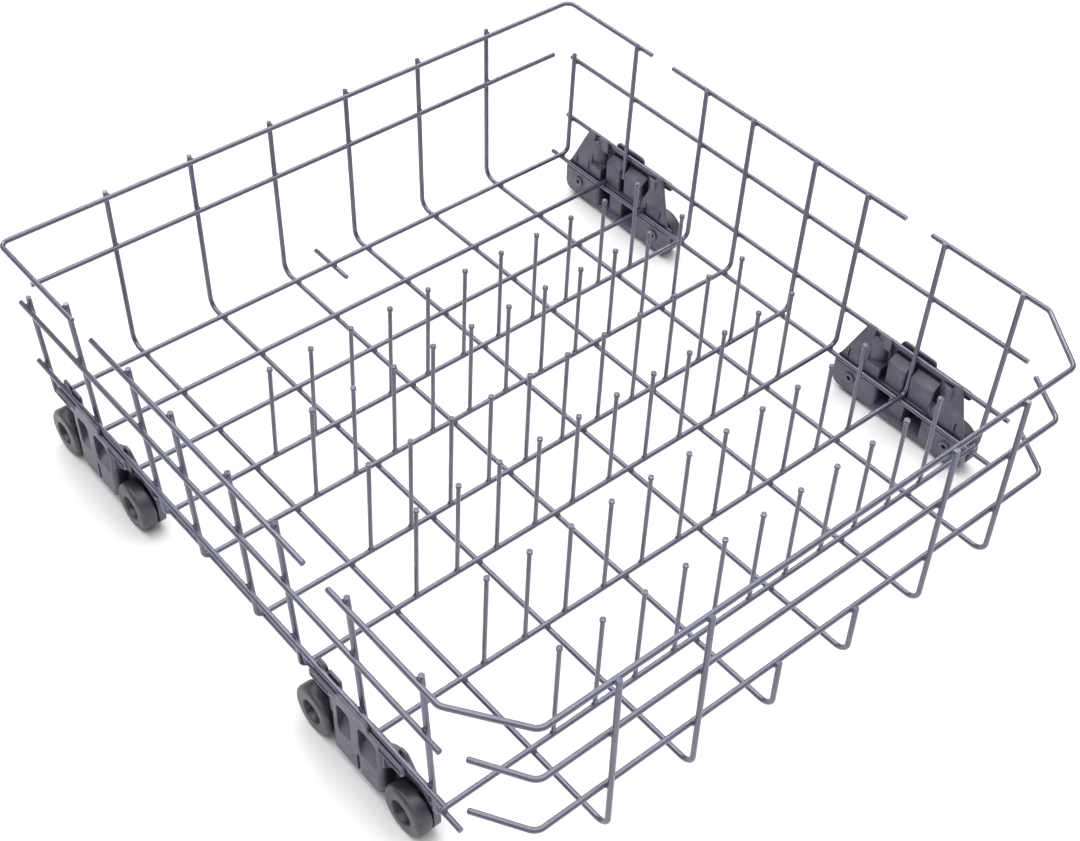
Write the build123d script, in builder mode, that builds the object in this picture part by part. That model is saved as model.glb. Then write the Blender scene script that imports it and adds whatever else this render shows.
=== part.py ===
"""Lower dish rack of a dishwasher: a basket of coated wire on four carriages with two wheels each.

Millimetres. +X is the right side seen from the front, the front faces -Y, +Z is up.
The origin is on the floor under the wheels, at the middle of the rack's width and depth.
"""

import os
from itertools import accumulate
from math import atan2, cos, degrees, radians, tan

from build123d import *

# Wire
wire_d = 4.0
tine_d = 3.2
tine_tip_d = 4.2
weld = 0.1
upright_tip = 3.5

# Basket
overall_depth = 575.0
rail_half_width = 264.3
side_lean = 2.3
stub_proud = 5.2

# Heights above the centre line of the cross wires
side_low_rise = 33.4
side_mid_rise = 91.6
rail_rise = 141.0
back_mid_rise = 95.0
front_low_rise = 39.7
front_mid_rise = 92.0
rear_hoop_tip = 8.0
picket_foot_rise = 13.0

# Bends, to the wire's centre line
hoop_bend = 6.5
long_bend = 10.0
back_rail_bend = 22.0
front_rail_bend = 18.0
front_wire_bend = 12.0

# Cross wires: the tine rows counted from the front, the rear bay's wires from the back
first_cross_from_front = 71.3
row_gaps = (71.0, 74.0, 53.0, 67.0, 52.5)
rear_hoop_from_back = 20.0
bay_gaps = (55.0, 51.0)
floor_wire_overhang = 2.0

# Long wires
long_count = 6
long_pitch = 71.0
short_front_uprights = (2, 3)

# Tines
tine_count = 11
tine_pitch = 35.0
tine_row_offset = 14.0
tine_length = 82.4
tine_lean_x = 5.0
tine_lean_y = 3.0
tine_flare = 3.5

# Free ends of the horizontal wires past the uprights that hold them
side_wire_front_overhang = 17.0
side_wire_back_overhang = 7.5
edge_wire_back_overhang = 13.0
rail_arm_overhang = 15.0
mid_rail_back_overhang = 43.0
rail_gap = 24.7
mid_rail_front_overhang = 34.5
back_mid_half_length = 249.0
front_corner_half = 231.0
front_rail_corner = 47.0
front_wire_tail_x = 22.5
front_wire_tail_y = 37.0
stub_length = 45.0

# Wheels and axles
wheel_d = 38.0
wheel_width = 12.0
wheel_edge = 3.5
wheel_inner_edge = 1.5
wheel_recess_d = 19.0
wheel_recess_floor_d = 15.0
wheel_hub_length = 5.0
axle_d = 6.0
axle_head_d = 9.6
axle_head = 1.2
axle_socket_d = 4.2
axle_socket = 7.0
snap_head_d = 9.0
snap_head = 2.2
axle_spacing = 98.0
axle_below_cross = 15.0
run_clearance = 0.06
seat_clearance = 0.03
wheel_gap = 0.3

# Carriages
wall = 2.0
clip_gap = 0.15
skin_gap = 0.5
plate_flush = 1.4
plate_half_length = 66.0
plate_inner_end = 23.0
plate_inner_corner = 3.0
plate_foot = 5.0
plate_corner = 8.0
collar_d = 11.0
collar = 1.0
wheel_end_gap = 3.0
body_corner = 5.0
lobe_foot = 10.0
lobe_corner = 6.0
lobe_notch = 3.0
lobe_notch_height = 18.0
lobe_notch_y = -2.4
center_rib = (-4.0, 11.0)
pocket_ribs = ((2.6, 20.5), (-25.0, -2.6))
rib_set_back = 1.5
rib_drop = 4.0
rib_edge = 2.2
rib_roof = 6.0
pocket_rim = 1.6
pocket_foot_rise = 1.0
pocket_head_drop = 3.0
pocket_slope = 16.0
pocket_corner = 4.5
hump = (-15.5, 18.5)
hump_rise = 4.5
hump_corner = 4.0
tongue_reach = 52.0
tongue_set_down = 1.0
tongue_drop = 9.0
tongue_corner = 3.8
skirt_reach = 48.0
skirt_drop = 8.0
lip = 1.6
lip_recess = 0.9
arch_set_back = 1.0
ear_rise = 4.5
rear_ear = (39.0, 47.0)
rear_ear_foot = 65.0
front_ear = (-46.5, -40.5)
front_ear_foot = (-61.0, -24.0)
ear_corner = 3.0
slit_length = 8.0
slit_width = 1.2
rear_slits = (41.5, 57.0)
front_slits = (-51.0, -34.0)
clip_tab = (23.0, 35.0)
clip_tab_rise = 3.6
clip_tab_corner = 2.0
rear_carriage_from_hoop = 74.3

# Places worked out from the sizes above
step = wire_d - weld
axle_z = wheel_d / 2
cross_z = axle_z + axle_below_cross
long_z = cross_z - step
side_low_z = cross_z + side_low_rise
side_mid_z = cross_z + side_mid_rise
rail_z = cross_z + rail_rise
front_upright_y = -overall_depth / 2 + wire_d / 2
back_upright_y = overall_depth / 2 - stub_proud - wire_d / 2
front_wire_y = front_upright_y + step
back_wire_y = back_upright_y - step
row_ys = list(accumulate((front_upright_y + first_cross_from_front,) + row_gaps))
rear_hoop_y = back_upright_y - rear_hoop_from_back
bay_ys = [rear_hoop_y - gap for gap in accumulate(bay_gaps)]
front_carriage_y = row_ys[1]
rear_carriage_y = rear_hoop_y - rear_carriage_from_hoop
lean_slope = tan(radians(side_lean))


def side_wire_x(z):
    """Centre line of a side wire at height z, on the leaning side wall."""
    return rail_half_width - (rail_z - z) * lean_slope


def upright_x(z):
    """Centre line of a side upright at height z, just inside the side wires."""
    return side_wire_x(z) - step / cos(radians(side_lean))


edge_x = upright_x(cross_z) - hoop_bend * tan(radians(90 - side_lean) / 2)

os.makedirs("parts", exist_ok=True)


def save(piece, name):
    piece.part.label = name
    export_step(piece.part, f"parts/{name}.step")


def wire(name, points, bend=0.0):
    """A round wire along straight runs joined by bends of one radius."""
    with BuildPart() as piece:
        with BuildLine() as path:
            if len(points) > 2:
                FilletPolyline(*points, radius=bend)
            else:
                Line(*points)
        with BuildSketch(Plane(origin=path.line @ 0, z_dir=path.line % 0)):
            Circle(wire_d / 2)
        sweep()
    save(piece, name)


def cross_hoop(name, y, top):
    """A floor wire with both ends bent up into side uprights."""
    foot = upright_x(cross_z)
    head = upright_x(top)
    wire(name, [(-head, y, top), (-foot, y, cross_z), (foot, y, cross_z), (head, y, top)], hoop_bend)


def tine():
    """One tine along +Z with a flared tip, from the centre line of its cross wire."""
    with BuildPart() as piece:
        with BuildSketch(Plane.XZ):
            with BuildLine():
                Polyline(
                    (0, 0),
                    (tine_d / 2, 0),
                    (tine_d / 2, tine_length - tine_flare),
                    (tine_tip_d / 2, tine_length),
                    (0, tine_length),
                    close=True,
                )
            make_face()
        revolve(axis=Axis.Z)
    return piece.part


def tine_row(name, y):
    """Leaning tines, evenly spaced along one cross wire, with feet that saddle it."""
    first_x = tine_row_offset - tine_pitch * (tine_count - 1) / 2
    axis = Vector(tine_lean_x, tine_lean_y, tine_length)
    feet = [Vector(first_x + index * tine_pitch, y, cross_z) for index in range(tine_count)]
    with BuildPart() as row:
        with Locations(*[Plane(origin=foot, x_dir=(1, 0, 0), z_dir=axis) for foot in feet]):
            add(tine())
        with BuildSketch(Plane.YZ):
            with Locations((y, cross_z)):
                Circle(wire_d / 2)
        extrude(amount=upright_x(cross_z), both=True, mode=Mode.SUBTRACT)
    save(row, name)


# Cross hoops, rearmost first
cross_hoop("cross_hoop_1", rear_hoop_y, side_mid_z + rear_hoop_tip)
for number, y in enumerate(reversed(row_ys), start=2):
    cross_hoop(f"cross_hoop_{number}", y, rail_z + upright_tip)

# Straight floor wires of the rear bay
for number, y in enumerate(bay_ys, start=1):
    end_x = edge_x + floor_wire_overhang
    wire(f"floor_wire_{number}", [(-end_x, y, cross_z), (end_x, y, cross_z)])

# Long hoops, left to right
for index in range(long_count):
    x = (index - (long_count - 1) / 2) * long_pitch
    front_top = cross_z + front_low_rise if index in short_front_uprights else rail_z
    path = [
        (x, back_upright_y, rail_z + upright_tip),
        (x, back_upright_y, long_z),
        (x, front_upright_y, long_z),
        (x, front_upright_y, front_top + upright_tip),
    ]
    wire(f"long_hoop_{index + 1}", path, long_bend)

# Top rail
back_arm_y = row_ys[-1] + mid_rail_back_overhang + rail_gap
front_arm_y = front_carriage_y + rail_arm_overhang
front_corner_y = front_wire_y + front_rail_corner
wire(
    "rail_back",
    [
        (-rail_half_width, back_arm_y, rail_z),
        (-rail_half_width, back_wire_y, rail_z),
        (rail_half_width, back_wire_y, rail_z),
        (rail_half_width, back_arm_y, rail_z),
    ],
    back_rail_bend,
)
wire(
    "rail_front",
    [
        (-rail_half_width, front_arm_y, rail_z),
        (-rail_half_width, front_corner_y, rail_z),
        (-front_corner_half, front_wire_y, rail_z),
        (front_corner_half, front_wire_y, rail_z),
        (rail_half_width, front_corner_y, rail_z),
        (rail_half_width, front_arm_y, rail_z),
    ],
    front_rail_bend,
)

# Side wires and pickets, both sides
for side, sign in (("left", -1), ("right", 1)):
    rail_x = sign * rail_half_width
    wire(
        f"rail_{side}",
        [
            (rail_x, row_ys[2] - mid_rail_front_overhang, rail_z),
            (rail_x, row_ys[-1] + mid_rail_back_overhang, rail_z),
        ],
    )
    front_end = row_ys[0] - side_wire_front_overhang
    back_end = rear_hoop_y + side_wire_back_overhang
    for level, z in (("mid", side_mid_z), ("low", side_low_z)):
        x = sign * side_wire_x(z)
        wire(f"side_{level}_wire_{side}", [(x, front_end, z), (x, back_end, z)])
    x = sign * edge_x
    edge_end = rear_hoop_y + edge_wire_back_overhang
    wire(f"edge_wire_{side}", [(x, front_end, long_z), (x, edge_end, long_z)])
    foot_z = cross_z + picket_foot_rise
    head_z = rail_z + upright_tip
    wire(
        f"side_picket_{side}",
        [
            (sign * upright_x(foot_z), rear_carriage_y, foot_z),
            (sign * upright_x(head_z), rear_carriage_y, head_z),
        ],
    )

# Back and front wires
back_mid_z = cross_z + back_mid_rise
wire(
    "back_mid_wire",
    [(-back_mid_half_length, back_wire_y, back_mid_z), (back_mid_half_length, back_wire_y, back_mid_z)],
)
for level, z in (("mid", cross_z + front_mid_rise), ("low", cross_z + front_low_rise)):
    tail_x = front_corner_half + front_wire_tail_x
    tail_y = front_wire_y + front_wire_tail_y
    wire(
        f"front_{level}_wire",
        [
            (-tail_x, tail_y, z),
            (-front_corner_half, front_wire_y, z),
            (front_corner_half, front_wire_y, z),
            (tail_x, tail_y, z),
        ],
        front_wire_bend,
    )
stub_end_y = overall_depth / 2
wire("back_stub_wire", [(0, stub_end_y - stub_length, long_z), (0, stub_end_y, long_z)])

# Tine rows, rearmost first
for number, y in enumerate(reversed(row_ys), start=1):
    tine_row(f"tine_row_{number}", y)

# Carriage planes, measured outwards from the middle of the rack
plate_x = edge_x - plate_flush
web_x = edge_x + wire_d / 2 + clip_gap
web_out_x = web_x + wall
rib_face = web_x + rib_set_back
wheel_x = web_out_x + collar + wheel_gap
side_low_x = side_wire_x(side_low_z)
skin_x = side_low_x + wire_d / 2 + skin_gap
skin_out_x = skin_x + wall
ear_out_x = side_low_x - wire_d / 2 - clip_gap
bed_top = side_low_z - wire_d / 2 - clip_gap
bed_foot = bed_top - wall
ledge_top = cross_z - wire_d / 2 - clip_gap
plate_top = long_z - wire_d / 2 - clip_gap
ear_top = side_low_z + ear_rise
ear_tilt = degrees(atan2(ear_out_x - wall - web_x, ear_top - ledge_top))
ear_slope_length = (ear_top - ledge_top) / cos(radians(ear_tilt))
groove_half = pocket_ribs[0][0]
body_half_length = (axle_spacing - wheel_d) / 2 - wheel_end_gap
inner_half_length = body_half_length - wall
arch_x = web_out_x + arch_set_back
arch_foot = wheel_d + wheel_end_gap
web_floor = plate_foot + (lobe_foot - plate_foot) * (web_x - plate_x) / (skin_x - plate_x)


def upright_plane(x, center_y):
    """A sketch plane across the rack's width, with Y and Z as its own axes."""
    return Plane(origin=(x, center_y, 0), x_dir=(0, 1, 0), z_dir=(1, 0, 0))


def rect_between(low, high):
    """A rectangle between two corners."""
    with Locations(((low[0] + high[0]) / 2, (low[1] + high[1]) / 2)):
        Rectangle(high[0] - low[0], high[1] - low[1])


def section_plane(y):
    """A sketch plane along the rack's width at one place in its depth, with X and Z as its own axes."""
    return Plane.XZ.offset(-y)


def body_shell(center_y):
    """The box of a carriage, open to the inside, with rounded outer corners and two lobes below."""
    with BuildPart() as shell:
        with BuildSketch(Plane.XY.offset(lobe_foot)) as outline:
            rect_between((web_x, center_y - body_half_length), (skin_out_x, center_y + body_half_length))
            fillet(outline.vertices().group_by(Axis.X)[-1], body_corner)
        extrude(amount=bed_top - lobe_foot)
        with BuildSketch(Plane.XY.offset(lobe_foot)) as hollow:
            rect_between((web_x, center_y - inner_half_length), (skin_x, center_y + inner_half_length))
            fillet(hollow.vertices().group_by(Axis.X)[-1], body_corner - wall)
        extrude(amount=bed_top - lobe_foot, mode=Mode.SUBTRACT)
        with BuildSketch(Plane.XY.offset(arch_foot)):
            rect_between((web_x, center_y - body_half_length), (skin_x - wall, center_y + body_half_length))
        extrude(amount=bed_top - arch_foot, mode=Mode.SUBTRACT)
        with BuildSketch(upright_plane(web_x, center_y)) as lobes:
            rect_between((-body_half_length, lobe_foot), (body_half_length, bed_top))
            fillet(lobes.vertices().group_by(Axis.Y)[0], lobe_corner)
            with Locations((lobe_notch_y, lobe_foot)):
                SlotOverall(2 * lobe_notch_height, lobe_notch, rotation=90, mode=Mode.SUBTRACT)
        extrude(amount=skin_out_x - web_x, mode=Mode.INTERSECT)
    return shell.part


def flange(center_y):
    """The outer strip along the side lower wire: hump, tongue over the front wheel and rear skirt, with a lip."""
    with BuildPart() as strip:
        with BuildSketch(upright_plane(skin_x, center_y)) as crest:
            rect_between((hump[0], bed_foot), (hump[1], side_low_z + hump_rise))
            fillet(crest.vertices().group_by(Axis.Y)[-1], hump_corner)
        extrude(amount=wall)
        tongue_low = (-tongue_reach, side_low_z - tongue_drop)
        tongue_high = (hump[0], side_low_z - tongue_set_down)
        skirt_low = (hump[1], side_low_z - skirt_drop)
        skirt_high = (skirt_reach, bed_top)
        with BuildSketch(upright_plane(skin_x, center_y)) as ends:
            rect_between(tongue_low, tongue_high)
            fillet(ends.vertices().group_by(Axis.X)[0], tongue_corner)
            rect_between(skirt_low, skirt_high)
        extrude(amount=wall)
        with BuildSketch(upright_plane(skin_out_x, center_y)) as recess:
            rect_between((tongue_low[0] + lip, tongue_low[1] + lip), (-body_half_length, tongue_high[1] - lip))
            fillet(recess.vertices().group_by(Axis.X)[0], tongue_corner - lip)
            rect_between((body_half_length, skirt_low[1] + lip), (skirt_high[0] - lip, skirt_high[1] - lip))
        extrude(amount=-lip_recess, mode=Mode.SUBTRACT)
    return strip.part


def scoop(center_y, low, high):
    """The hollow of a pocket: deepest at the top, running out on the face of its lobe."""
    head = bed_foot - pocket_head_drop
    foot = ledge_top + pocket_foot_rise
    floor_x = rib_face + wall
    with BuildPart() as hollow:
        with BuildSketch(upright_plane(skin_out_x, center_y)):
            with Locations(((low + high) / 2, (head + foot) / 2)):
                RectangleRounded(high - low, head - foot, pocket_corner)
        extrude(amount=floor_x - skin_out_x)
        with BuildSketch(section_plane(center_y + low)):
            with BuildLine():
                Polyline(
                    (skin_out_x, head),
                    (floor_x, head - rib_roof - wall),
                    (floor_x, foot + pocket_slope),
                    (skin_out_x, foot),
                    close=True,
                )
            make_face()
        extrude(amount=low - high, mode=Mode.INTERSECT)
    return hollow.part


def carriage(center_y):
    """The moulded carriage of the right side, clipped round the side lower wire and the edge wire."""
    with BuildPart() as body:
        add(body_shell(center_y))
        add(flange(center_y))
        # Bed under the side lower wire
        with BuildSketch(upright_plane(side_low_x, center_y)):
            rect_between((front_ear[0], bed_foot), (rear_ear[1], bed_top))
        extrude(amount=skin_x - side_low_x)
        # Ledge and centre rib behind the edge wire, and the floor that rises to the lobes
        with BuildSketch(upright_plane(web_x, center_y)):
            rect_between((-inner_half_length, ledge_top - wall), (inner_half_length, ledge_top))
        extrude(amount=skin_x - web_x)
        with BuildSketch(section_plane(center_y + center_rib[0])):
            with BuildLine():
                Polyline(
                    (web_x, web_floor),
                    (skin_x, lobe_foot),
                    (skin_x, ledge_top),
                    (web_x, ledge_top),
                    close=True,
                )
            make_face()
        extrude(amount=center_rib[0] - center_rib[1])
        with BuildSketch(section_plane(center_y)):
            with BuildLine():
                Polyline(
                    (plate_x, plate_foot),
                    (skin_x, lobe_foot),
                    (skin_x, lobe_foot + wall),
                    (plate_x, plate_foot + wall),
                    close=True,
                )
            make_face()
        extrude(amount=inner_half_length, both=True)
        # Pocket ribs with sloping roofs
        for low, high in pocket_ribs:
            rib_top = bed_foot - rib_drop
            with BuildSketch(Plane.XY.offset(ledge_top)) as rib:
                rect_between((rib_face, center_y + low), (skin_x, center_y + high))
                fillet(rib.vertices().group_by(Axis.X)[0], rib_edge)
            extrude(amount=rib_top - ledge_top)
            with BuildSketch(section_plane(center_y + low)):
                with BuildLine():
                    Polyline(
                        (rib_face, rib_top),
                        (side_low_x, rib_top),
                        (rib_face, rib_top - rib_roof),
                        close=True,
                    )
                make_face()
            extrude(amount=low - high, mode=Mode.SUBTRACT)
        # Arch walls from the ears round to the ends of the box, each with a floor and a roof
        for sign, ear_u, floor_x in ((1, rear_ear[0], web_x), (-1, front_ear[1], arch_x)):
            center = (skin_x, center_y + ear_u)
            radii = (skin_x - arch_x, abs(ear_u) - body_half_length)
            quarter_start = 180 if sign > 0 else 90
            with BuildSketch(Plane.XY.offset(arch_foot)):
                with BuildLine():
                    outer = EllipticalCenterArc(center, *radii, quarter_start)
                    inner = EllipticalCenterArc(center, radii[0] - wall, radii[1] - wall, quarter_start)
                    Line(outer @ 0, inner @ 0)
                    Line(outer @ 1, inner @ 1)
                make_face()
            extrude(amount=bed_foot - arch_foot)
            ends = sorted((center_y + sign * inner_half_length, center_y + ear_u))
            with BuildSketch(Plane.XY.offset(arch_foot)):
                rect_between((floor_x, ends[0]), (skin_x, ends[1]))
                with BuildLine():
                    edge = EllipticalCenterArc(center, radii[0] - wall, radii[1] - wall, quarter_start)
                    Polyline(edge @ 0, center, edge @ 1)
                make_face(mode=Mode.SUBTRACT)
            extrude(amount=wall)
            with BuildSketch(Plane.XY.offset(bed_foot)):
                with BuildLine():
                    edge = EllipticalCenterArc(center, *radii, quarter_start)
                    Polyline(edge @ 0, center, edge @ 1)
                make_face()
            extrude(amount=bed_top - bed_foot)
        # Low wall between the rear ear and the box
        with BuildSketch(upright_plane(web_x, center_y)):
            rect_between((inner_half_length, ledge_top), (rear_ear[0], arch_foot + wall))
        extrude(amount=wall)
        # Tab that holds the wire from the inside
        with BuildSketch(upright_plane(ear_out_x - wall, center_y)) as tab:
            rect_between((clip_tab[0], bed_foot - rib_drop), (clip_tab[1], side_low_z + clip_tab_rise))
            fillet(tab.vertices().group_by(Axis.Y)[-1], clip_tab_corner)
        extrude(amount=wall)
        # Web and end plates, thicker below the edge wire
        with BuildSketch(upright_plane(web_x, center_y)):
            for low, high in ((-plate_half_length, -plate_inner_end), (plate_inner_end, plate_half_length)):
                rect_between((low, plate_foot), (high, ledge_top))
        extrude(amount=wall)
        for sign in (-1, 1):
            with BuildSketch(Plane.XY.offset(plate_foot)) as plate:
                ends = sorted((center_y + sign * plate_inner_end, center_y + sign * plate_half_length))
                rect_between((plate_x, ends[0]), (web_x, ends[1]))
                inner_corner = plate.vertices().group_by(Axis.X)[0].sort_by(Axis.Y)[0 if sign > 0 else -1]
                fillet(inner_corner, plate_inner_corner)
            extrude(amount=plate_top - plate_foot)
        # Ears that lean from the web to the inner side of the wire, with slits beside their feet
        ear_plane = Plane(
            origin=(web_x, center_y, ledge_top),
            x_dir=(0, 1, 0),
            z_dir=Vector(1, 0, 0).rotate(Axis.Y, ear_tilt),
        )
        with BuildSketch(ear_plane) as ears:
            with BuildLine():
                Polyline(
                    (rear_ear[0], 0),
                    (rear_ear_foot, 0),
                    (rear_ear[1], ear_slope_length),
                    (rear_ear[0], ear_slope_length),
                    close=True,
                )
            make_face()
            with BuildLine():
                Polyline(
                    (front_ear_foot[1], 0),
                    (front_ear[1], ear_slope_length),
                    (front_ear[0], ear_slope_length),
                    (front_ear_foot[0], 0),
                    close=True,
                )
            make_face()
            fillet(ears.vertices().group_by(Axis.Y)[-1], ear_corner)
            with Locations(*[(u, slit_length / 2 + wall) for u in rear_slits + front_slits]):
                SlotOverall(slit_length, slit_width, rotation=90, mode=Mode.SUBTRACT)
        extrude(amount=wall)
        # Round outer corners of the end plates
        plate_ends = body.edges().filter_by(Axis.X).group_by(Axis.Z)[0]
        fillet([plate_ends.sort_by(Axis.Y)[0], plate_ends.sort_by(Axis.Y)[-1]], plate_corner)
        # Axle collars and holes
        with BuildSketch(upright_plane(web_out_x, center_y)):
            with Locations((-axle_spacing / 2, axle_z), (axle_spacing / 2, axle_z)):
                Circle(collar_d / 2)
        extrude(amount=collar)
        with BuildSketch(upright_plane(plate_x, center_y)):
            with Locations((-axle_spacing / 2, axle_z), (axle_spacing / 2, axle_z)):
                Circle(axle_d / 2 + seat_clearance)
        extrude(amount=wheel_x - plate_x, mode=Mode.SUBTRACT)
        # Pockets
        for low, high in pocket_ribs:
            add(scoop(center_y, low + pocket_rim, high - pocket_rim), mode=Mode.SUBTRACT)
        # Groove for the upright through the bed
        with BuildSketch(upright_plane(web_x, center_y)):
            rect_between((-groove_half, ledge_top), (groove_half, ear_top))
        extrude(amount=side_low_x - web_x - wire_d / 2, mode=Mode.SUBTRACT)
    return body.part


def wheel(y):
    """A wheel of the right side with a rounded rim and a deep hub recess on its outer face."""
    with BuildPart() as body:
        with BuildSketch(Plane.XY):
            with BuildLine():
                outer_x = wheel_x + wheel_width
                floor_x = wheel_x + wheel_hub_length
                rim = Polyline(
                    (wheel_x, axle_d / 2 + run_clearance),
                    (wheel_x, wheel_d / 2 - wheel_inner_edge),
                    (wheel_x + wheel_inner_edge, wheel_d / 2),
                    (outer_x - wheel_edge, wheel_d / 2),
                )
                arc = TangentArc(rim @ 1, (outer_x, wheel_d / 2 - wheel_edge), tangent=rim % 1)
                Polyline(
                    arc @ 1,
                    (outer_x, wheel_recess_d / 2),
                    (floor_x, wheel_recess_floor_d / 2),
                    (floor_x, axle_d / 2 + run_clearance),
                    (wheel_x, axle_d / 2 + run_clearance),
                )
            make_face()
        revolve(axis=Axis.X)
    return body.part.moved(Location((0, y, axle_z)))


def axle(y):
    """An axle pin of the right side: a hollow head on the inner plate and a snap head in the wheel's recess."""
    head_x = plate_x - axle_head
    snap_x = wheel_x + wheel_hub_length + wheel_gap
    with BuildPart() as body:
        with BuildSketch(Plane.XY):
            with BuildLine():
                Polyline(
                    (head_x + axle_socket, 0),
                    (head_x + axle_socket, axle_socket_d / 2),
                    (head_x, axle_socket_d / 2),
                    (head_x, axle_head_d / 2),
                    (plate_x, axle_head_d / 2),
                    (plate_x, axle_d / 2),
                    (snap_x, axle_d / 2),
                    (snap_x, snap_head_d / 2),
                    (snap_x + snap_head, axle_d / 2),
                    (snap_x + snap_head, 0),
                    close=True,
                )
            make_face()
        revolve(axis=Axis.X)
    return body.part.moved(Location((0, y, axle_z)))


# Carriages with their wheels and axles at the four corners
for end, center_y in (("rear", rear_carriage_y), ("front", front_carriage_y)):
    right_hand = {f"carriage_{end}": carriage(center_y)}
    for number, offset in ((1, axle_spacing / 2), (2, -axle_spacing / 2)):
        right_hand[f"wheel_{end}_{number}"] = wheel(center_y + offset)
        right_hand[f"axle_{end}_{number}"] = axle(center_y + offset)
    for base, solid in right_hand.items():
        with BuildPart() as right_piece:
            add(solid)
        save(right_piece, f"{base}_right")
        with BuildPart() as left_piece:
            mirror(solid, about=Plane.YZ)
        save(left_piece, f"{base}_left")
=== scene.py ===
"""Looks of a dishwasher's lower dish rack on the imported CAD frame. Metres, in the frame's own axes."""

import math

import bmesh
import bpy
from mathutils import Matrix, Vector


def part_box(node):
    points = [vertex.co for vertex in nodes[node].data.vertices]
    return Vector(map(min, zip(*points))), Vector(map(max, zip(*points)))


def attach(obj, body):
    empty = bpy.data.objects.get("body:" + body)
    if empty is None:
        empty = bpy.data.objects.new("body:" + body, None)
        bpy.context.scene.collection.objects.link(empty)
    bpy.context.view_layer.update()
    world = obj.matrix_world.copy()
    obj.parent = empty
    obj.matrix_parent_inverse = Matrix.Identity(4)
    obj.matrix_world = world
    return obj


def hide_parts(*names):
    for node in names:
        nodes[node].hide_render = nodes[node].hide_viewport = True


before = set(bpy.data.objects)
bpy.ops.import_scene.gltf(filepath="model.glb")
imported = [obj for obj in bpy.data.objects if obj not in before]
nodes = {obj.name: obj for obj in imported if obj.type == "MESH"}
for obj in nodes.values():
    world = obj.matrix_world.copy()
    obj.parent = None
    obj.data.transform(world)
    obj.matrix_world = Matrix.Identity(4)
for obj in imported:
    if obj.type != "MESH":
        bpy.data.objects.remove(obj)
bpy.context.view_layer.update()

# Camera, fitted to the photograph
IMAGE_WIDTH = 1080
FOCAL_PIXELS = 1712
CAMERA_PLACE = Vector((-0.5885, -0.6880, 0.9412))
CAMERA_AZIMUTH = math.radians(-40.88)
CAMERA_ELEVATION = math.radians(44.46)
CAMERA_ROLL = math.radians(1.61)
CAMERA_SHIFT = (-0.0012, -0.0018)
SENSOR_WIDTH = 36.0

# Beads of coating at the welds and on the tines
WELD_SPREAD = 0.0027
WELD_THICKNESS = 0.0012
FOOT_SPREAD = 0.0024
FOOT_THICKNESS = 0.0011
TIP_RADIUS = 0.00235
TIP_DROP = 0.0011
TINE_GAP = 0.010
BEAD_SUBDIVISIONS = 2

# Level wires with tighter bends than their CAD nodes have
BACK_BEND = 0.007
FRONT_BEND = 0.009
BEND_STEPS = 12
WIRE_SIDES = 28
RUN_IN = 0.003
FRONT_CORNER_HALF = 0.231
RAIL_CORNER_DEPTH = 0.047
TAIL_REACH = 0.0225
TAIL_DEPTH = 0.037

# Gussets in the carriages: faces along Y from a carriage's middle, heights above its lowest point,
# and insets from its inner and outer side
GUSSET_FACES = (0.0232, 0.0249)
GUSSET_TOP = 0.012
FLOOR_AT_WEB = 0.0026
FLOOR_AT_SKIN = 0.0066
WEB_INSET = 0.0037
SKIN_INSET = 0.0022

# Rounded edges: width, segments and the least angle of an edge in degrees
WIRE_ROUNDING = (0.0011, 3, 60)
MOULDED_ROUNDING = (0.0006, 2, 35)
MOULDED_EDGE_SHADE = 0.0014
EDGE_SAMPLES = 6
JOIN_DISTANCE = 1e-6

# Noise: the part of its range that is used, its scales in the two kinds of material, and its detail
NOISE_LOW = 0.3
NOISE_HIGH = 0.7
COATING_CLOUDS = 34.0
COATING_GLOSS = 220.0
COATING_PEEL = 900.0
PLASTIC_CLOUDS = 90.0
PLASTIC_GLOSS = 400.0
PLASTIC_GRAIN = 3200.0
FINE_DETAIL = 2.0
CLOUD_DETAIL = 8.0

# Coating
COATING_COLORS = (
    (0.30, (0.047, 0.046, 0.077)),
    (0.55, (0.059, 0.058, 0.093)),
    (0.75, (0.073, 0.072, 0.111)),
)
COATING_ROUGHNESS = (0.17, 0.26)
# Painted shade in the coating's colour where wires meet and cross: reach and strength
COATING_PAINTED_SHADE = (0.006, 0.5)
COATING_BUMP = (0.10, 0.00003)
COATING_IOR = 1.9
COATING_TINT = (0.80, 0.81, 0.98, 1)

# Plastics: dark and light colour, and roughness
CARRIAGE_PLASTIC = ((0.056, 0.054, 0.086), (0.097, 0.093, 0.138), (0.34, 0.50))
WHEEL_PLASTIC = ((0.028, 0.027, 0.040), (0.048, 0.046, 0.065), (0.32, 0.48))
AXLE_PLASTIC = ((0.076, 0.074, 0.099), (0.107, 0.104, 0.132), (0.34, 0.46))
PLASTIC_STOPS = (0.30, 0.62, 0.78)
# Painted shade in the plastics' colour in hollows and between parts: reach and strength
PLASTIC_PAINTED_SHADE = (0.012, 0.75)
PLASTIC_BUMP = (0.35, 0.00008)
WORN_GAIN = 1.35
SPECULAR_LEVEL = 0.6
# Samples of the painted shade in the plastics and the coating
PAINTED_SHADE_SAMPLES = 8

# Studio: floor, sky colours by height, and soft lights with place, size and power
FLOOR_SIZE = 12.0
FLOOR_COLOR = (0.85, 0.85, 0.85, 1)
FLOOR_ROUGHNESS = 0.9
HORIZON_COLOR = (0.085, 0.085, 0.088)
SKY_GRADES = (
    (0.11, (0.32, 0.32, 0.32)),
    (0.17, HORIZON_COLOR),
    (0.77, HORIZON_COLOR),
    (0.83, (1.0, 1.0, 1.0)),
)
WORLD_STRENGTH = 3.3
SOFTBOXES = (
    ("back_strip", (1.25, 1.45, 1.85), (2.4, 0.4), 28),
    ("key", (-0.5, 1.3, 2.3), (1.4, 1.4), 9),
    ("fill", (0.4, -1.6, 2.4), (1.8, 1.8), 5),
)

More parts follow.
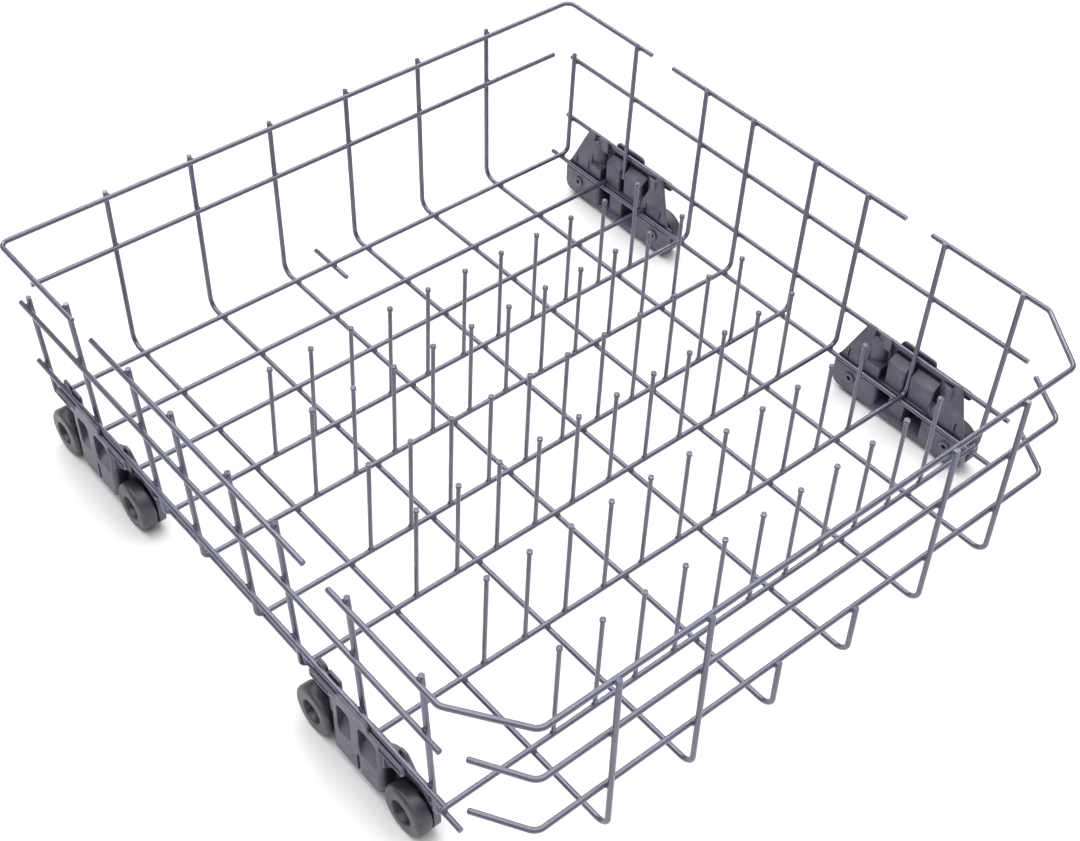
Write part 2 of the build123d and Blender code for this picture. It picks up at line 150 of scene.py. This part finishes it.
SIDES = (("left", -1), ("right", 1))
CROSS_HOOPS = [f"cross_hoop_{number}" for number in range(1, 8)]
FLOOR_WIRES = [f"floor_wire_{number}" for number in range(1, 3)]
LONG_HOOPS = [f"long_hoop_{number}" for number in range(1, 7)]
SHORT_FRONT_HOOPS = ("long_hoop_3", "long_hoop_4")
TINE_ROWS = [f"tine_row_{number}" for number in range(1, 7)]
EDGE_WIRES = [f"edge_wire_{side}" for side, _ in SIDES]
UP = Vector((0, 0, 1))


# Frame readings

def low_corner(node):
    return Vector(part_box(node)[0])


def high_corner(node):
    return Vector(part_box(node)[1])


def middle(node):
    """Centre of a node's box."""
    return (low_corner(node) + high_corner(node)) / 2


WIRE_RADIUS = (high_corner("floor_wire_1").z - low_corner("floor_wire_1").z) / 2


# Materials

def new_material(name):
    """A material, its node tree and its shader."""
    material = bpy.data.materials.new(name)
    material.use_nodes = True
    tree = material.node_tree
    return material, tree, tree.nodes["Principled BSDF"]


def place_coordinates(tree):
    return tree.nodes.new("ShaderNodeTexCoord").outputs["Object"]


def noise(tree, coordinates, scale, detail=3.0):
    node = tree.nodes.new("ShaderNodeTexNoise")
    node.inputs["Scale"].default_value = scale
    node.inputs["Detail"].default_value = detail
    tree.links.new(coordinates, node.inputs["Vector"])
    return node.outputs["Fac"]


def color_ramp(tree, factor, stops):
    """Colours at positions along a factor."""
    node = tree.nodes.new("ShaderNodeValToRGB")
    for index, (position, color) in enumerate(stops):
        if index >= len(node.color_ramp.elements):
            node.color_ramp.elements.new(position)
        node.color_ramp.elements[index].position = position
        node.color_ramp.elements[index].color = (*color, 1)
    tree.links.new(factor, node.inputs["Fac"])
    return node.outputs["Color"]


def spread(tree, factor, low, high):
    """The used part of a noise, spread over a range of numbers."""
    node = tree.nodes.new("ShaderNodeMapRange")
    node.inputs["From Min"].default_value = NOISE_LOW
    node.inputs["From Max"].default_value = NOISE_HIGH
    node.inputs["To Min"].default_value = low
    node.inputs["To Max"].default_value = high
    tree.links.new(factor, node.inputs["Value"])
    return node.outputs["Result"]


def rounded_normal(tree, radius):
    """Shading that turns softly over sharp edges."""
    node = tree.nodes.new("ShaderNodeBevel")
    node.samples = EDGE_SAMPLES
    node.inputs["Radius"].default_value = radius
    return node.outputs["Normal"]


def bump(tree, shader, height, strength, distance):
    """Fine relief on a shader. The node is returned, so that it can start from another normal."""
    node = tree.nodes.new("ShaderNodeBump")
    node.inputs["Strength"].default_value = strength
    node.inputs["Distance"].default_value = distance
    tree.links.new(height, node.inputs["Height"])
    tree.links.new(node.outputs["Normal"], shader.inputs["Normal"])
    return node


def color_with_painted_shade(tree, color, depth, strength):
    """A colour with painted shade: darker where surfaces stand close together, from ambient occlusion."""
    node = tree.nodes.new("ShaderNodeAmbientOcclusion")
    node.samples = PAINTED_SHADE_SAMPLES
    node.inputs["Distance"].default_value = depth
    shade = tree.nodes.new("ShaderNodeMapRange")
    shade.inputs["To Min"].default_value = 1.0 - strength
    tree.links.new(node.outputs["AO"], shade.inputs["Value"])
    mix = tree.nodes.new("ShaderNodeMix")
    mix.data_type = "RGBA"
    mix.blend_type = "MULTIPLY"
    mix.inputs["Factor"].default_value = 1.0
    tree.links.new(color, mix.inputs["A"])
    tree.links.new(shade.outputs["Result"], mix.inputs["B"])
    return mix.outputs["Result"]


def coating_material():
    """Dipped blue-grey nylon: soft gloss, slightly uneven, with a faint orange peel."""
    material, tree, shader = new_material("nylon_coating")
    place = place_coordinates(tree)
    color = color_ramp(tree, noise(tree, place, COATING_CLOUDS), COATING_COLORS)
    # Base colour with painted shade where surfaces stand close together
    tree.links.new(color_with_painted_shade(tree, color, *COATING_PAINTED_SHADE), shader.inputs["Base Color"])
    gloss = spread(tree, noise(tree, place, COATING_GLOSS), *COATING_ROUGHNESS)
    tree.links.new(gloss, shader.inputs["Roughness"])
    bump(tree, shader, noise(tree, place, COATING_PEEL, FINE_DETAIL), *COATING_BUMP)
    shader.inputs["IOR"].default_value = COATING_IOR
    shader.inputs["Specular IOR Level"].default_value = SPECULAR_LEVEL
    shader.inputs["Specular Tint"].default_value = COATING_TINT
    return material


def moulded_material(name, dark, light, roughness):
    """Matte moulded plastic with a fine eroded grain and faint flow clouds."""
    material, tree, shader = new_material(name)
    place = place_coordinates(tree)
    worn = [WORN_GAIN * part for part in light]
    stops = list(zip(PLASTIC_STOPS, (dark, light, worn)))
    color = color_ramp(tree, noise(tree, place, PLASTIC_CLOUDS, CLOUD_DETAIL), stops)
    # Base colour with painted shade where surfaces stand close together
    tree.links.new(color_with_painted_shade(tree, color, *PLASTIC_PAINTED_SHADE), shader.inputs["Base Color"])
    gloss = spread(tree, noise(tree, place, PLASTIC_GLOSS), *roughness)
    tree.links.new(gloss, shader.inputs["Roughness"])
    grain = bump(tree, shader, noise(tree, place, PLASTIC_GRAIN, FINE_DETAIL), *PLASTIC_BUMP)
    tree.links.new(rounded_normal(tree, MOULDED_EDGE_SHADE), grain.inputs["Normal"])
    shader.inputs["Specular IOR Level"].default_value = SPECULAR_LEVEL
    return material


# Finish of the pieces

def soften(piece, width, segments, angle):
    """Rounds the sharp edges of a piece without changing its mesh."""
    weld = piece.modifiers.new("join", "WELD")
    weld.merge_threshold = JOIN_DISTANCE
    rounding = piece.modifiers.new("round_edges", "BEVEL")
    rounding.width = width
    rounding.segments = segments
    rounding.limit_method = "ANGLE"
    rounding.angle_limit = math.radians(angle)
    rounding.use_clamp_overlap = True
    rounding.harden_normals = False


def finish_piece(mesh, name, material):
    """A smooth object from a mesh, riding on the basket."""
    data = bpy.data.meshes.new(name)
    mesh.to_mesh(data)
    mesh.free()
    data.materials.append(material)
    data.shade_smooth()
    piece = bpy.data.objects.new(name, data)
    bpy.context.collection.objects.link(piece)
    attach(piece, "basket")
    return piece


def dress_frame(coating, plastics):
    """Materials and rounded edges on the CAD pieces, moulded ones by the first word of their names."""
    for name, piece in nodes.items():
        kind = name.split("_")[0]
        piece.data.materials.clear()
        piece.data.materials.append(plastics.get(kind, coating))
        soften(piece, *(MOULDED_ROUNDING if kind in plastics else WIRE_ROUNDING))


# Wires with tight bends

def bent_path(corners, bend):
    """Places along straight runs that meet in round bends, each with its direction."""
    first = (corners[1] - corners[0]).normalized()
    last = (corners[-1] - corners[-2]).normalized()
    path = [(corners[0], first), (corners[0] + RUN_IN * first, first)]
    for before, corner, after in zip(corners, corners[1:], corners[2:]):
        arriving = (corner - before).normalized()
        leaving = (after - corner).normalized()
        turn = arriving.angle(leaving)
        axis = arriving.cross(leaving).normalized()
        reach = bend * math.tan(turn / 2)
        start = corner - reach * arriving
        centre = start + bend * axis.cross(arriving)
        path.append((start - RUN_IN * arriving, arriving))
        for step in range(BEND_STEPS + 1):
            rotation = Matrix.Rotation(turn * step / BEND_STEPS, 3, axis)
            path.append((centre + rotation @ (start - centre), rotation @ arriving))
        path.append((corner + (reach + RUN_IN) * leaving, leaving))
    return path + [(corners[-1] - RUN_IN * last, last), (corners[-1], last)]


def sweep_wire(path):
    """A closed round wire along a level path."""
    mesh = bmesh.new()
    rings = []
    for place, direction in path:
        across = direction.cross(UP)
        ring = []
        for side in range(WIRE_SIDES):
            angle = math.tau * side / WIRE_SIDES
            offset = math.cos(angle) * across + math.sin(angle) * UP
            ring.append(mesh.verts.new(place + WIRE_RADIUS * offset))
        rings.append(ring)
    for ring, following in zip(rings, rings[1:]):
        for side in range(WIRE_SIDES):
            beside = (side + 1) % WIRE_SIDES
            mesh.faces.new((ring[side], ring[beside], following[beside], following[side]))
    mesh.faces.new(rings[0])
    mesh.faces.new(rings[-1])
    bmesh.ops.recalc_face_normals(mesh, faces=mesh.faces)
    return mesh


def mirrored(half, z):
    """Corners of a level wire from those of one half, given as distances to the side and places along Y."""
    left = [Vector((-x, y, z)) for x, y in half]
    right = [Vector((x, y, z)) for x, y in reversed(half)]
    return left + right


def level_wires():
    """Corners of one half and bend of each level wire that is bent tighter than its node."""
    back_y = high_corner("rail_back").y - WIRE_RADIUS
    front_y = low_corner("rail_front").y + WIRE_RADIUS
    half_width = high_corner("rail_back").x - WIRE_RADIUS
    back = ((half_width, low_corner("rail_back").y), (half_width, back_y))
    front = (
        (half_width, high_corner("rail_front").y),
        (half_width, front_y + RAIL_CORNER_DEPTH),
        (FRONT_CORNER_HALF, front_y),
    )
    wires = {"rail_back": (back, BACK_BEND), "rail_front": (front, FRONT_BEND)}
    for node in ("front_mid_wire", "front_low_wire"):
        wire_y = low_corner(node).y + WIRE_RADIUS
        tail = (FRONT_CORNER_HALF + TAIL_REACH, wire_y + TAIL_DEPTH)
        wires[node] = ((tail, (FRONT_CORNER_HALF, wire_y)), FRONT_BEND)
    return wires


def build_level_wires(material):
    for node, (half, bend) in level_wires().items():
        mesh = sweep_wire(bent_path(mirrored(half, middle(node).z), bend))
        piece = finish_piece(mesh, f"bent_{node}", material)
        soften(piece, *WIRE_ROUNDING)
        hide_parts(node)


# Beads of coating

def add_bead(mesh, place, normal, spread_radius, thickness):
    """A round bead of coating, flattened along the normal to its thickness."""
    turn = UP.rotation_difference(normal).to_matrix().to_4x4()
    size = Matrix.Diagonal((spread_radius, spread_radius, thickness, 1))
    shape = Matrix.Translation(place) @ turn @ size
    bmesh.ops.create_icosphere(mesh, subdivisions=BEAD_SUBDIVISIONS, radius=1.0, matrix=shape)


def floor_welds():
    """Crossings of the cross wires with the long wires and the edge wires."""
    places = []
    for across in CROSS_HOOPS + FLOOR_WIRES:
        y = middle(across).y
        for along in LONG_HOOPS + EDGE_WIRES:
            long_top = low_corner(along).z + 2 * WIRE_RADIUS
            places.append(Vector((middle(along).x, y, long_top)))
    stub = middle("back_stub_wire")
    places.append(Vector((stub.x, middle("cross_hoop_1").y, high_corner("back_stub_wire").z)))
    return places


def side_welds():
    """Crossings of the side uprights with the rails and the side wires."""
    places = []
    for side, sign in SIDES:
        wires = [f"rail_{side}", "rail_back", "rail_front", f"side_mid_wire_{side}", f"side_low_wire_{side}"]
        for upright in CROSS_HOOPS + [f"side_picket_{side}"]:
            y = middle(upright).y
            for wire in wires:
                low, high = low_corner(wire), high_corner(wire)
                if low.y < y < high.y and high_corner(upright).z > low.z:
                    outer = max(abs(low.x), abs(high.x))
                    places.append(Vector((sign * (outer - 2 * WIRE_RADIUS), y, middle(wire).z)))
    return places


def end_welds():
    """Crossings of the front and back uprights with the wires across them."""
    places = []
    for hoop in LONG_HOOPS:
        x = middle(hoop).x
        for wire in ("rail_back", "back_mid_wire"):
            places.append(Vector((x, high_corner(wire).y, middle(wire).z)))
        front_wires = ["front_low_wire"]
        if hoop not in SHORT_FRONT_HOOPS:
            front_wires += ["rail_front", "front_mid_wire"]
        for wire in front_wires:
            places.append(Vector((x, low_corner(wire).y, middle(wire).z)))
    return places


def build_welds(material):
    mesh = bmesh.new()
    welds = ((floor_welds(), UP), (side_welds(), Vector((1, 0, 0))), (end_welds(), Vector((0, 1, 0))))
    for places, normal in welds:
        for place in places:
            add_bead(mesh, place, normal, WELD_SPREAD, WELD_THICKNESS)
    finish_piece(mesh, "weld_beads", material)


def gather(points):
    """Centres of groups of points, sorted along X, that lie apart by more than the gap between tines."""
    groups = []
    for point in points:
        if not groups or point.x - groups[-1][-1].x > TINE_GAP:
            groups.append([])
        groups[-1].append(point)
    return [sum(group, Vector()) / len(group) for group in groups]


def tine_ends(node):
    """Foot and tip of each tine in a row, from left to right."""
    points = sorted((vertex.co.copy() for vertex in nodes[node].data.vertices), key=lambda point: point.x)
    top = max(point.z for point in points)
    foot_line = low_corner(node).z + WIRE_RADIUS
    tips = gather([point for point in points if point.z > top - TIP_RADIUS])
    feet = gather([point for point in points if point.z < foot_line])
    return list(zip(feet, tips))


def build_tine_beads(material):
    mesh = bmesh.new()
    for row in TINE_ROWS:
        for foot, tip in tine_ends(row):
            lean = (tip - foot).normalized()
            add_bead(mesh, foot, UP, FOOT_SPREAD, FOOT_THICKNESS)
            add_bead(mesh, tip - lean * TIP_DROP, lean, TIP_RADIUS, TIP_RADIUS)
    finish_piece(mesh, "tine_beads", material)


# Gussets in the carriages

def gusset_section(node):
    """Corners of a gusset across a carriage, as places along X and Z."""
    low, high = low_corner(node), high_corner(node)
    outward = 1 if low.x > 0 else -1
    inner_x, outer_x = sorted((low.x, high.x), key=abs)
    web_x = inner_x + outward * WEB_INSET
    skin_x = outer_x - outward * SKIN_INSET
    return (
        (web_x, low.z + FLOOR_AT_WEB),
        (skin_x, low.z + FLOOR_AT_SKIN),
        (skin_x, low.z + GUSSET_TOP),
        (web_x, low.z + GUSSET_TOP),
    )


def add_gusset(mesh, section, faces_y):
    """A closed wall with one section between two places along Y."""
    near, far = [[mesh.verts.new((x, y, z)) for x, z in section] for y in faces_y]
    mesh.faces.new(near)
    mesh.faces.new(far)
    for index in range(len(section)):
        following = (index + 1) % len(section)
        mesh.faces.new((near[index], near[following], far[following], far[index]))


def build_gussets(material):
    """Low walls on the sloping floor at both ends of each carriage's box."""
    mesh = bmesh.new()
    for node in nodes:
        if node.startswith("carriage"):
            for end in (-1, 1):
                faces_y = [middle(node).y + end * reach for reach in GUSSET_FACES]
                add_gusset(mesh, gusset_section(node), faces_y)
    bmesh.ops.recalc_face_normals(mesh, faces=mesh.faces)
    piece = finish_piece(mesh, "carriage_gussets", material)
    piece.data.shade_flat()


# Studio

def build_floor():
    bpy.ops.mesh.primitive_plane_add(size=FLOOR_SIZE)
    floor = bpy.context.object
    floor.name = "floor"
    material, _, shader = new_material("floor")
    shader.inputs["Base Color"].default_value = FLOOR_COLOR
    shader.inputs["Roughness"].default_value = FLOOR_ROUGHNESS
    floor.data.materials.append(material)


def add_softbox(name, place, size, power):
    """A soft light that looks at the rack."""
    data = bpy.data.lights.new(name, "AREA")
    data.shape = "RECTANGLE"
    data.size, data.size_y = size
    data.energy = power
    lamp = bpy.data.objects.new(name, data)
    lamp.location = place
    lamp.rotation_euler = (-Vector(place)).to_track_quat("-Z", "Y").to_euler()
    bpy.context.collection.objects.link(lamp)


def build_light():
    """A sky that is bright overhead and a third as bright low down, and the soft lights."""
    world = bpy.data.worlds.new("studio")
    bpy.context.scene.world = world
    world.use_nodes = True
    tree = world.node_tree
    height = tree.nodes.new("ShaderNodeSeparateXYZ")
    tree.links.new(tree.nodes.new("ShaderNodeTexCoord").outputs["Generated"], height.inputs[0])
    background = tree.nodes["Background"]
    tree.links.new(color_ramp(tree, height.outputs["Z"], SKY_GRADES), background.inputs["Color"])
    background.inputs["Strength"].default_value = WORLD_STRENGTH
    for softbox in SOFTBOXES:
        add_softbox(*softbox)
    bpy.context.scene.view_settings.view_transform = "Standard"


def build_camera():
    back = Vector((
        math.sin(CAMERA_AZIMUTH) * math.cos(CAMERA_ELEVATION),
        -math.cos(CAMERA_AZIMUTH) * math.cos(CAMERA_ELEVATION),
        math.sin(CAMERA_ELEVATION),
    ))
    right = (-back).cross(UP).normalized()
    up = right.cross(-back)
    rolled_right = math.cos(CAMERA_ROLL) * right + math.sin(CAMERA_ROLL) * up
    rolled_up = -math.sin(CAMERA_ROLL) * right + math.cos(CAMERA_ROLL) * up
    data = bpy.data.cameras.new("camera")
    data.sensor_fit = "HORIZONTAL"
    data.sensor_width = SENSOR_WIDTH
    data.lens = SENSOR_WIDTH * FOCAL_PIXELS / IMAGE_WIDTH
    data.shift_x, data.shift_y = CAMERA_SHIFT
    camera = bpy.data.objects.new("camera", data)
    turn = Matrix((rolled_right, rolled_up, back)).transposed().to_4x4()
    camera.matrix_world = Matrix.Translation(CAMERA_PLACE) @ turn
    bpy.context.collection.objects.link(camera)
    bpy.context.scene.camera = camera


coating = coating_material()
plastics = {
    "carriage": moulded_material("carriage_plastic", *CARRIAGE_PLASTIC),
    "wheel": moulded_material("wheel_plastic", *WHEEL_PLASTIC),
    "axle": moulded_material("axle_plastic", *AXLE_PLASTIC),
}
dress_frame(coating, plastics)
build_level_wires(coating)
build_welds(coating)
build_tine_beads(coating)
build_gussets(plastics["carriage"])
build_floor()
build_light()
build_camera()
